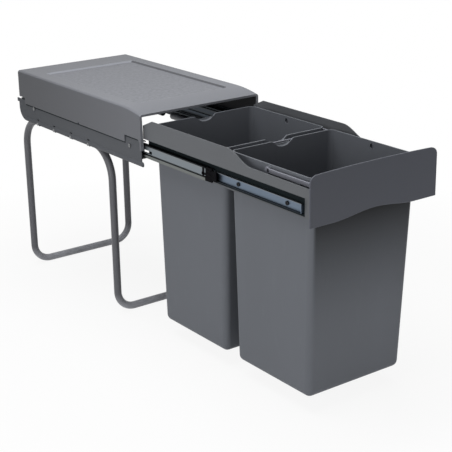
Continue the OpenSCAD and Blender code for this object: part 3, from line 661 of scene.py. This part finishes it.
def cut_snaps(bm, s, wall_x):
    """A round snap notch in the lower edge of each side wall of the cover."""
    for side in (-1, 1):
        for y in (s.snap_place - s.snap, s.snap_place + s.snap):
            wall = face_at(bm, (side * wall_x, s.snap_place, SIDE_WALL), Vector((side, 0, 0)))
            cut(bm, (0, y, 0), (0, 1, 0), [wall])
        foot = [e for e in bm.edges if e.is_boundary and all(
            abs(v.co.y - s.snap_place) < s.snap + TINY and v.co.x * side > 0 for v in e.verts)]
        bmesh.ops.bisect_edges(bm, edges=foot, cuts=9)
        for v in bm.verts:
            off = abs(v.co.y - s.snap_place)
            if off < s.snap and v.co.x * side > 0 and abs(v.co.z - s.skirt) < TINY:
                v.co.z += math.sqrt(s.snap ** 2 - off ** 2)


def sink_recess(bm, s, top):
    """The recess in the cover's top, with round corners and sloping walls."""
    lid = [f for f in bm.faces if f.normal.z > 0.999]
    outline = [e for f in lid for e in f.edges]
    bmesh.ops.delete(bm, geom=lid, context="FACES_ONLY")
    mid = (s.recess_front + s.recess_rear) / 2
    long = s.recess_rear - s.recess_front
    tray = Matrix.Translation((0, mid, top)) @ Matrix.Diagonal((2 * s.recess_half, long, 1, 1))
    round_corners(bm, square(bm, 0.5, matrix=tray), s.recess_corner)
    bm.normal_update()
    recess = face_at(bm, (0, mid, top), Vector((0, 0, 1)))
    bmesh.ops.bridge_loops(bm, edges=outline + list(recess.edges))
    bmesh.ops.inset_region(bm, faces=[recess], thickness=s.recess_slope, use_even_offset=True)
    bmesh.ops.translate(bm, verts=recess.verts, vec=(0, 0, -s.recess_depth))
    bm.normal_update()
    soften(bm, CREASE, 2, 30.0)


def roll_front(bm, s, high):
    """Rolls the front of the cover's top down and turns a lip in along its front edge."""
    roll_steps = 14
    for i in range(1, roll_steps + 1):
        cut(bm, (0, s.droop_length * i / roll_steps, 0), (0, 1, 0))
    turn = high.z - s.cover_fold
    lip = [e for e in bm.edges if e.is_boundary and all(v.co.y < TINY for v in e.verts)]
    flat = high.x - s.cover_fold
    for v in verts_of(extrude(bm, lip)):
        side = math.copysign(1.0, v.co.x)
        out_x = max(0.0, abs(v.co.x) - flat) / s.cover_fold
        out_z = max(0.0, v.co.z - turn) / s.cover_fold
        down = min(1.0, max(0.0, turn - v.co.z) / (turn - s.skirt))
        v.co.x -= side * out_x * (s.cover_lip + down * (s.lip_foot - s.cover_lip))
        v.co.z -= out_z * s.cover_lip
    for v in bm.verts:
        if v.co.y < s.droop_length and v.co.z > turn - s.cover_lip - TINY:
            v.co.z -= s.droop * (1.0 - v.co.y / s.droop_length) ** 2


def cover_shell(s):
    """The cover: a folded blank with notches, snaps, a recess and a rolled front, given its wall."""
    low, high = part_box("top_cover")
    bm = start()
    cuboid(bm, low, high)
    bm.normal_update()
    open_faces = [f for f in bm.faces if f.normal.z < -0.9 or f.normal.y < -0.9]
    bmesh.ops.delete(bm, geom=open_faces, context="FACES")
    folds = [e for e in bm.edges if e.is_manifold]
    bevel(bm, folds, s.cover_fold, 7)
    for z in (s.skirt, s.rear_cut_top, s.notch_top):
        cut(bm, (0, 0, z), (0, 0, 1))
    for y in (s.notch_front, s.notch_rear, s.rear_cut):
        cut(bm, (0, y, 0), (0, 1, 0))

    def spare(f):
        c = f.calc_center_median()
        below = c.z < s.skirt and c.y > s.notch_front
        notch = c.z < s.notch_top and s.notch_front < c.y < s.notch_rear
        return below or notch or (c.z < s.rear_cut_top and c.y > s.rear_cut)

    bmesh.ops.delete(bm, geom=[f for f in bm.faces if spare(f)], context="FACES")
    bmesh.ops.dissolve_limit(bm, angle_limit=FLAT, verts=bm.verts, edges=bm.edges)
    corners = [v for v in bm.verts
               if abs(v.co.y - s.notch_front) < TINY and abs(v.co.z - s.notch_top) < TINY]
    round_corners(bm, corners, s.notch_corner)
    bm.normal_update()
    cut_snaps(bm, s, high.x)
    sink_recess(bm, s, high.z)
    roll_front(bm, s, high)
    seal(bm, SLIVER)
    thicken(bm, s.cover_wall)
    soften(bm, s.moulded_edge * 0.8, 2, 50.0)
    return bm


def tube_leg(s, node, way):
    """One leg: runs, bends, posts and floor bar. way is +1 where the runs go to the rear."""
    low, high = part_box(node)
    radius = s.tube / 2
    x = high.x - radius
    post = low.y + radius if way > 0 else high.y - radius
    end = high.y if way > 0 else low.y
    run = high.z - radius
    bm = start()
    place = Matrix.Translation((x, end, run)) @ Matrix.Rotation(math.pi / 2, 4, "X")
    verts = bmesh.ops.create_circle(
        bm, cap_ends=False, segments=s.tube_sides, radius=radius, matrix=place)["verts"]
    mouth = list({e for v in verts for e in v.link_edges})

    def onward(edges, vec):
        made = extrude(bm, edges)
        bmesh.ops.translate(bm, verts=verts_of(made), vec=vec)
        return [e for e in edges_of(made) if e.is_boundary]

    def bend(edges, centre, axis, degrees, steps):
        verts = list({v for e in edges for v in e.verts})
        made = bmesh.ops.spin(
            bm, geom=verts + edges, cent=centre, axis=axis, angle=math.radians(degrees), steps=steps)
        return edges_of(made["geom_last"])

    last = onward(mouth, (0, post + way * s.bend_top - end, 0))
    last = bend(last, (x, post + way * s.bend_top, run - s.bend_top), (1, 0, 0), way * 90.0, 16)
    last = onward(last, (0, 0, radius + s.bend_low - run + s.bend_top))
    last = bend(last, (x - s.bend_low, post, radius + s.bend_low), (0, 1, 0), 90.0, 14)
    onward(last, (s.bend_low - x, 0, 0))
    inner = onward(mouth, (0, 0, 0))
    ring_verts = list({v for e in inner for v in e.verts})
    shrink = 1.0 - s.tube_wall / radius
    bmesh.ops.scale(
        bm, verts=ring_verts, vec=(shrink, 1, shrink), space=Matrix.Translation((-x, -end, -run)))
    mouth_depth = 0.02
    deep = onward(inner, (0, -way * mouth_depth, 0))
    bmesh.ops.holes_fill(bm, edges=deep)
    bmesh.ops.mirror(bm, geom=bm.verts[:] + bm.edges[:] + bm.faces[:], merge_dist=TINY, axis="X")
    seal(bm, TINY)
    soften(bm, 0.0003, 2, 60.0)
    return bm


def front_board(s):
    """The front panel: a flat outline with a crowned top and an arched lower edge, made thick."""
    low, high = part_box("front_panel")
    side_top = high.z - s.panel_crown
    bm = start()
    middle = (low.z + side_top) / 2
    place = Matrix.Translation((0, low.y, middle)) @ Matrix.Rotation(math.pi / 2, 4, "X")
    place = place @ Matrix.Diagonal((high.x - low.x, side_top - low.z, 1, 1))
    square(bm, 0.5, matrix=place)
    round_corners(bm, [v for v in bm.verts if v.co.z > middle], s.panel_corner, 10)
    top = max(bm.edges, key=lambda e: min(v.co.z for v in e.verts))
    foot = min(bm.edges, key=lambda e: max(v.co.z for v in e.verts))
    bmesh.ops.bisect_edges(bm, edges=[top, foot], cuts=63)
    for v in bm.verts:
        if v.co.z > side_top - TINY:
            v.co.z += s.panel_crown * (1.0 - (v.co.x / high.x) ** 2)
        elif v.co.z < low.z + TINY and abs(v.co.x) < s.panel_arch_half:
            v.co.z += s.panel_arch * (1.0 + math.cos(math.pi * v.co.x / s.panel_arch_half)) / 2
    bm.normal_update()
    made = bmesh.ops.extrude_face_region(bm, geom=bm.faces[:])["geom"]
    bmesh.ops.translate(bm, verts=verts_of(made), vec=(0, high.y - low.y, 0))
    bmesh.ops.recalc_face_normals(bm, faces=bm.faces)
    soften(bm, CREASE, 3, 50.0)
    return bm


def hand_notches(bm, s, y, rim, tall):
    """A hand notch in the front and the rear wall of a bin, each with a scoop that rolls outwards."""
    scoop_deep = s.hand_deep - s.hand_flank
    ledge = rim - s.hand_flank
    for side in (-1, 1):
        wall_y = y + side * s.rim_reach
        slope = side * (s.draft_rear if side > 0 else s.draft_front) / tall
        top = [e for e in bm.edges if e.is_boundary and all(abs(v.co.y - wall_y) < TINY for v in e.verts)]
        bmesh.ops.bisect_edges(bm, edges=[max(top, key=lambda e: e.calc_length())], cuts=143)
        notch = [v for v in bm.verts if abs(v.co.y - wall_y) < TINY and abs(v.co.x) < s.hand_half]
        for v in notch:
            off = abs(v.co.x)
            drop = s.hand_flank * ease(min(1.0, (s.hand_half - off) / (s.hand_half - s.scoop_half)))
            if off < s.scoop_half:
                drop += scoop_deep * math.sqrt(1.0 - (off / s.scoop_half) ** 2)
            v.co.z -= drop
            v.co.y -= slope * drop
        edges = [e for e in bm.edges if e.is_boundary
                 and all(v in notch and abs(v.co.x) < s.scoop_half for v in e.verts)]
        start_of = {}
        for step in (1, 2, 3):
            turn = math.pi / 2 * step / 3
            made = extrude(bm, edges)
            edges = [e for e in edges_of(made)
                     if e.is_boundary and abs(e.verts[0].co.x - e.verts[1].co.x) > TINY]
            for v in verts_of(made):
                key = round(v.co.x, 6)
                base = start_of.setdefault(key, v.co.copy())
                deep = ledge - base.z
                share = math.sqrt(max(0.0, deep) / scoop_deep)
                v.co.y = base.y + side * s.scoop_out * share * math.sin(turn)
                v.co.z = base.z + 0.7 * deep * (1.0 - math.cos(turn))


def pivot_holes(bm, s, y, pivot, wall_x, lean):
    """A round hole in each side wall of a bin, cut from a square patch of the wall."""
    patch = 0.0045
    for side in (-1, 1):
        spot = Vector((side * wall_x, y, pivot))
        facing = Vector((side, 0, 0))
        planes = [((0, y + k * patch, 0), (0, 1, 0)) for k in (-1, 1)]
        planes += [((0, 0, pivot + k * patch), (0, 0, 1)) for k in (-1, 1)]
        for point, normal in planes:
            bm.normal_update()
            cut(bm, point, normal, [face_at(bm, spot, facing)])
        bm.normal_update()
        hole = face_at(bm, spot, facing)
        bmesh.ops.bisect_edges(bm, edges=list(hole.edges), cuts=5)
        for v in hole.verts:
            off = Vector((0, v.co.y - y, v.co.z - pivot))
            off *= s.pivot_hole / 2 / off.length
            v.co = (side * (wall_x + lean * off.z), y + off.y, pivot + off.z)
        bmesh.ops.delete(bm, geom=[hole], context="FACES_ONLY")


def hangers(bm, s, side, wall, y, pivot):
    """The flange that a bin hangs by on one side, and the stop that its bail lies on."""
    stop = y - s.stop_place
    strap_low = pivot - s.strap_high / 2
    stop_out = s.rim_half + BOSS_STANDS + s.strap
    far = (s.hang_out, y + s.hang_half, s.shelf + s.hang)
    block(bm, side, (wall, y - s.hang_half, s.shelf), far, 0.0008)
    block(bm, side, (wall, stop - STOP_HALF, s.shelf), (stop_out, stop + STOP_HALF, strap_low), 0.0008)


def bin_tub(s, node):
    """A bin: a tapered box with notches and holes, given its wall, then flanges, stops and bosses."""
    low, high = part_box(node)
    y = (low.y + high.y) / 2
    floor, rim = low.z, high.z
    mid = (floor + rim) / 2
    tall = rim - floor
    bm = start()
    corner = Vector((s.rim_half, s.rim_reach, 0))
    cuboid(bm, Vector((0, y, floor)) - corner, Vector((0, y, rim)) + corner)
    for v in bm.verts:
        if v.co.z < mid:
            v.co.x *= s.foot_half / s.rim_half
            v.co.y += s.draft_front if v.co.y < y else -s.draft_rear
    bm.normal_update()
    bmesh.ops.delete(bm, geom=[f for f in bm.faces if f.normal.z > 0.9], context="FACES")
    bevel(bm, [e for e in bm.edges if e.is_manifold], s.bin_corner, 8)
    bm.normal_update()
    foot = [f for f in bm.faces if f.normal.z < -0.999]
    foot_ring, foot_slope, foot_rise = 0.009, 0.0015, 0.0012
    for width in (foot_ring, foot_slope):
        bmesh.ops.inset_region(bm, faces=foot, thickness=width, use_even_offset=True)
    bmesh.ops.translate(bm, verts=list({v for f in foot for v in f.verts}), vec=(0, 0, foot_rise))
    hand_notches(bm, s, y, rim, tall)
    pivot = rim - s.pivot_drop
    lean = (s.rim_half - s.foot_half) / tall
    wall_x = s.rim_half - lean * s.pivot_drop
    pivot_holes(bm, s, y, pivot, wall_x, lean)
    seal(bm, TINY)
    thicken(bm, s.bin_wall)
    soften(bm, s.moulded_edge, 2, 50.0)
    wall = s.rim_half - lean * (rim - s.shelf) - SUNK
    for side in (-1, 1):
        hangers(bm, s, side, wall, y, pivot)
        boss = ring(bm, (0, y, pivot), s.boss / 2, s.pivot_hole / 2, side * (wall_x - SUNK),
                    side * (s.rim_half + BOSS_STANDS))
        soften(bm, 0.0004, 2, 50.0, boss)
    return bm


def bail_strap(s, node):
    """A bail: a flat strap bent to a U, with a round eye and a pin at each end."""
    low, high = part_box(node)
    pivot_y = high.y - s.eye
    z = (low.z + high.z) / 2
    bm = start()
    x = high.x
    path = [(x, pivot_y), (x, low.y), (-x, low.y), (-x, pivot_y)]
    verts = [bm.verts.new((px, py, z - s.strap_high / 2)) for px, py in path]
    edges = [bm.edges.new((verts[i], verts[i + 1])) for i in range(3)]
    bmesh.ops.translate(bm, verts=verts_of(extrude(bm, edges)), vec=(0, 0, s.strap_high))
    bevel(bm, [e for e in bm.edges if e.is_manifold], s.strap_bend, 8)
    bmesh.ops.recalc_face_normals(bm, faces=bm.faces)
    bm.normal_update()
    outward = sum((f.normal.y for f in bm.faces if abs(f.normal.y) > 0.9), 0.0) < 0
    if not outward:
        bmesh.ops.reverse_faces(bm, faces=bm.faces)
    thicken(bm, s.strap)
    soften(bm, CREASE, 3, 50.0)
    pin_in = s.rim_half + 0.0003
    for side in (-1, 1):
        eye = ring(bm, (0, pivot_y, z), s.eye, 0.0, side * (x - s.strap), side * x)
        pin = ring(bm, (0, pivot_y, z), s.pin / 2, 0.0, side * pin_in, side * (x - s.strap + 0.0005))
        soften(bm, 0.0005, 2, 50.0, eye | pin)
    return bm


def bumper(bm, side):
    """The bumper on one middle channel: a body, a nose, three ribs and the clips behind it."""
    low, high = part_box("slide_bumpers")
    inner, outer = 0.1172, high.x
    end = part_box("right_slide_middle")[0].y
    z = (low.z + high.z) / 2
    tall = (high.z - low.z) / 2
    body = end - 0.017
    nose, rib_pitch, rib_half = 0.0085, 0.007, 0.0016
    ear, ear_half = z - 0.0048, 0.0011
    clip = end + 0.008
    leaf = outer - 0.0006
    block(bm, side, (inner, body, z - tall), (outer - 0.0008, end, z + tall), 0.0008)
    block(bm, side, (inner, low.y, z - nose), (outer - 0.001, body + 0.0006, z + nose), 0.0012, 3)
    for rib in (z - rib_pitch, z, z + rib_pitch):
        block(bm, side, (outer - 0.0014, body + 0.002, rib - rib_half),
              (outer, end - 0.0015, rib + rib_half), 0.0004)
    block(bm, side, (outer - 0.0028, end - 0.0005, ear - ear_half), (outer, clip, ear + ear_half), 0.0003)
    block(bm, side, (leaf, end + 0.003, z - 0.0046), (outer, clip, z + 0.0095), 0.0002)
    block(bm, side, (leaf, end - 0.001, z - 0.002), (outer, high.y, z + 0.002), 0.0002)


class BINFRAME_OT_cover(bpy.types.Operator):
    """Models the grained cover"""
    bl_idname = "binframe.cover"
    bl_label = "Cover"

    def execute(self, context):
        piece(cover_shell(sizes()), "cover_shell", "frame", "cover_plastic", ["top_cover"])
        return {"FINISHED"}


class BINFRAME_OT_rails(bpy.types.Operator):
    """Dresses the two side rails"""
    bl_idname = "binframe.rails"
    bl_label = "Side rails"

    def execute(self, context):
        for node in ("left_side_rail", "right_side_rail"):
            dressed(node, "frame", "rail_paint", sizes().sheet_edge)
        return {"FINISHED"}


class BINFRAME_OT_legs(bpy.types.Operator):
    """Bends the two tube legs"""
    bl_idname = "binframe.legs"
    bl_label = "Tube legs"

    def execute(self, context):
        for node, way in (("front_leg", 1), ("rear_leg", -1)):
            piece(tube_leg(sizes(), node, way), node + "_tube", "frame", "leg_paint", [node], 50.0)
        return {"FINISHED"}


class BINFRAME_OT_slides(bpy.types.Operator):
    """Dresses the slide channels and models their bumpers"""
    bl_idname = "binframe.slides"
    bl_label = "Slides"

    def execute(self, context):
        for part, body in (("outer", "frame"), ("middle", "slide_middles"), ("inner", "carrier")):
            for side in ("left", "right"):
                dressed("%s_slide_%s" % (side, part), body, "slide_zinc", sizes().slide_edge)
        both = start()
        for side in (-1, 1):
            bumper(both, side)
        piece(both, "bumper_blocks", "slide_middles", "black_plastic", ["slide_bumpers"])
        return {"FINISHED"}


class BINFRAME_OT_bearings(bpy.types.Operator):
    """Finishes the ball rows and their cages"""
    bl_idname = "binframe.bearings"
    bl_label = "Balls and cages"

    def execute(self, context):
        for row in ("outer", "inner"):
            dressed(row + "_ball_cages", row + "_cages", "cage_steel", 0.0001, 1)
            balls = NODES[row + "_balls"]
            balls.data.materials.clear()
            balls.data.materials.append(finish_of("ball_steel"))
        return {"FINISHED"}


class BINFRAME_OT_carrier(bpy.types.Operator):
    """Dresses the carrier's folded sides and ties"""
    bl_idname = "binframe.carrier"
    bl_label = "Carrier"

    def execute(self, context):
        for node in ("left_carrier_side", "right_carrier_side", "rear_cross_rail", "centre_cross_rail"):
            dressed(node, "carrier", "carrier_paint", sizes().sheet_edge)
        return {"FINISHED"}


class BINFRAME_OT_panel(bpy.types.Operator):
    """Models the front panel"""
    bl_idname = "binframe.panel"
    bl_label = "Front panel"

    def execute(self, context):
        piece(front_board(sizes()), "front_board", "carrier", "panel_paint", ["front_panel"])
        return {"FINISHED"}


class BINFRAME_OT_bins(bpy.types.Operator):
    """Models the two lift-out bins"""
    bl_idname = "binframe.bins"
    bl_label = "Bins"

    def execute(self, context):
        for node in ("rear_bin", "front_bin"):
            piece(bin_tub(sizes(), node), node + "_tub", node, "bin_plastic", [node])
        return {"FINISHED"}


class BINFRAME_OT_bails(bpy.types.Operator):
    """Models the two lifting bails"""
    bl_idname = "binframe.bails"
    bl_label = "Bails"

    def execute(self, context):
        for node in ("rear_bail", "front_bail"):
            piece(bail_strap(sizes(), node), node + "_strap", node, "bail_plastic", [node])
        return {"FINISHED"}


class BINFRAME_OT_fasteners(bpy.types.Operator):
    """Dresses rivets, screws and spacers"""
    bl_idname = "binframe.fasteners"
    bl_label = "Fasteners"

    def execute(self, context):
        s = sizes()
        dressed("leg_rivets", "frame", "fastener_steel", s.head_edge, 3)
        dressed("rail_screws", "frame", "fastener_steel", s.head_edge * 0.4)
        dressed("inner_screws", "carrier", "black_screw", s.head_edge * 0.6)
        dressed("panel_screws", "carrier", "fastener_steel", s.head_edge * 0.6)
        dressed("leg_spacers", "frame", "black_plastic", s.sheet_edge * 0.5)
        return {"FINISHED"}


def area_light(name, place, target, size, power):
    """A square light at a place, which looks at a target."""
    data = bpy.data.lights.new(name, "AREA")
    data.shape = "SQUARE"
    data.size = size
    data.energy = power
    obj = bpy.data.objects.new(name, data)
    obj.location = place
    obj.rotation_euler = (Vector(target) - Vector(place)).to_track_quat("-Z", "Y").to_euler()
    bpy.context.scene.collection.objects.link(obj)
    return obj


def seen_rays(f):
    """1 for rays from the camera, or seen in a gloss or through glass."""
    camera, gloss, glass = [f.add("ShaderNodeLightPath", output="Is %s Ray" % kind)
                            for kind in ("Camera", "Glossy", "Transmission")]
    return camera + gloss + glass > 0.5


def studio_floor(scene, st):
    """A pale floor that keeps the object's shadow and fades to plain white around it."""
    bm = bmesh.new()
    square(bm, FLOOR_HALF)
    mesh = bpy.data.meshes.new("studio_floor")
    bm.to_mesh(mesh)
    bm.free()
    floor = bpy.data.objects.new("studio_floor", mesh)
    scene.collection.objects.link(floor)
    f = Finish("studio_floor_finish")
    pale = tuple(scene.bin_frame_colours.floor)
    matt = f.add("ShaderNodeBsdfDiffuse",
                 {"Color": f.blend(f.noise(3.0), tone(pale, 0.985), tone(pale, 1.0))})
    glow = f.add("ShaderNodeEmission", {"Color": (1, 1, 1, 1), "Strength": 1.0})
    x, y = f.axes("XY")
    far = f.ramp(x * x + y * y, 0.30, 0.95)
    share = seen_rays(f) * (far * (1.0 - st.glow) + st.glow)
    mixed = f.add("ShaderNodeMixShader", {0: share, 1: matt, 2: glow})
    f.add("ShaderNodeOutputMaterial", {"Surface": mixed})
    mesh.materials.append(f.material)


def studio_world(scene, st):
    """Soft light from all round in front of a white background."""
    world = bpy.data.worlds.new("studio")
    w = Nodes(world)
    soft = w.add("ShaderNodeBackground", {"Color": (1, 1, 1, 1), "Strength": st.sky})
    white = w.add("ShaderNodeBackground", {"Color": (1, 1, 1, 1), "Strength": 1.0})
    mixed = w.add("ShaderNodeMixShader", {0: seen_rays(w), 1: soft, 2: white})
    w.add("ShaderNodeOutputWorld", {"Surface": mixed})
    scene.world = world


def studio_lights(st):
    area_light("top_light", (-0.25, 0.10, 2.1), (0, 0.0, 0.3), 1.8, st.top_power)
    area_light("side_light", (-1.45, -0.50, 0.45), (-0.1, -0.3, 0.2), 0.9, st.side_power)
    area_light("front_light", (-0.2, -2.4, 0.3), (0, -0.3, 0.10), 1.4, st.front_power)
    card = area_light("floor_card", (0.05, -0.80, 0.03), (0.05, -0.40, 0.03), 0.3, st.card_power)
    card.visible_camera = False


def studio_camera(scene, st):
    data = bpy.data.cameras.new("camera")
    data.sensor_fit = "HORIZONTAL"
    data.sensor_width = 36.0
    data.lens = st.lens
    data.clip_end = 50.0
    camera = bpy.data.objects.new("camera", data)
    right = Vector((math.cos(st.heading), math.sin(st.heading), 0))
    back = Vector((math.sin(st.heading) * math.cos(st.pitch), -math.cos(st.heading) * math.cos(st.pitch),
                   math.sin(st.pitch)))
    up = back.cross(right)
    across = right * math.cos(st.roll) + up * math.sin(st.roll)
    above = up * math.cos(st.roll) - right * math.sin(st.roll)
    pose = Matrix((across, above, back)).transposed().to_4x4()
    pose.translation = st.eye
    camera.matrix_world = pose
    scene.collection.objects.link(camera)
    scene.camera = camera


class BINFRAME_OT_stage(bpy.types.Operator):
    """Sets the floor, the light and the camera"""
    bl_idname = "binframe.stage"
    bl_label = "Stage"

    def execute(self, context):
        scene = context.scene
        st = scene.bin_frame_stage
        studio_floor(scene, st)
        studio_world(scene, st)
        studio_lights(st)
        studio_camera(scene, st)
        scene.view_settings.view_transform = "Standard"
        return {"FINISHED"}


OPERATORS = (BINFRAME_OT_stage, BINFRAME_OT_cover, BINFRAME_OT_rails, BINFRAME_OT_legs,
             BINFRAME_OT_slides, BINFRAME_OT_bearings, BINFRAME_OT_carrier, BINFRAME_OT_panel,
             BINFRAME_OT_bins, BINFRAME_OT_bails, BINFRAME_OT_fasteners)


class BINFRAME_PT_sidebar(bpy.types.Panel):
    """Lists the steps that dress the bin frame"""
    bl_idname = "BINFRAME_PT_sidebar"
    bl_label = "Bin frame"
    bl_space_type = "VIEW_3D"
    bl_region_type = "UI"
    bl_category = "Bin frame"

    def draw(self, context):
        for operator in OPERATORS:
            self.layout.operator(operator.bl_idname)


GROUPS = {"bin_frame_sizes": BinFrameSizes, "bin_frame_colours": BinFrameColours,
          "bin_frame_stage": BinFrameStage}


def register():
    for cls in (*GROUPS.values(), *OPERATORS, BINFRAME_PT_sidebar):
        bpy.utils.register_class(cls)
    for name, group in GROUPS.items():
        setattr(bpy.types.Scene, name, bpy.props.PointerProperty(type=group))


def unregister():
    for name in GROUPS:
        delattr(bpy.types.Scene, name)
    for cls in (BINFRAME_PT_sidebar, *OPERATORS, *GROUPS.values()):
        bpy.utils.unregister_class(cls)


def main():
    register()
    bpy.ops.binframe.stage()
    bpy.ops.binframe.cover()
    bpy.ops.binframe.rails()
    bpy.ops.binframe.legs()
    bpy.ops.binframe.slides()
    bpy.ops.binframe.bearings()
    bpy.ops.binframe.carrier()
    bpy.ops.binframe.panel()
    bpy.ops.binframe.bins()
    bpy.ops.binframe.bails()
    bpy.ops.binframe.fasteners()


if __name__ == "__main__":
    main()
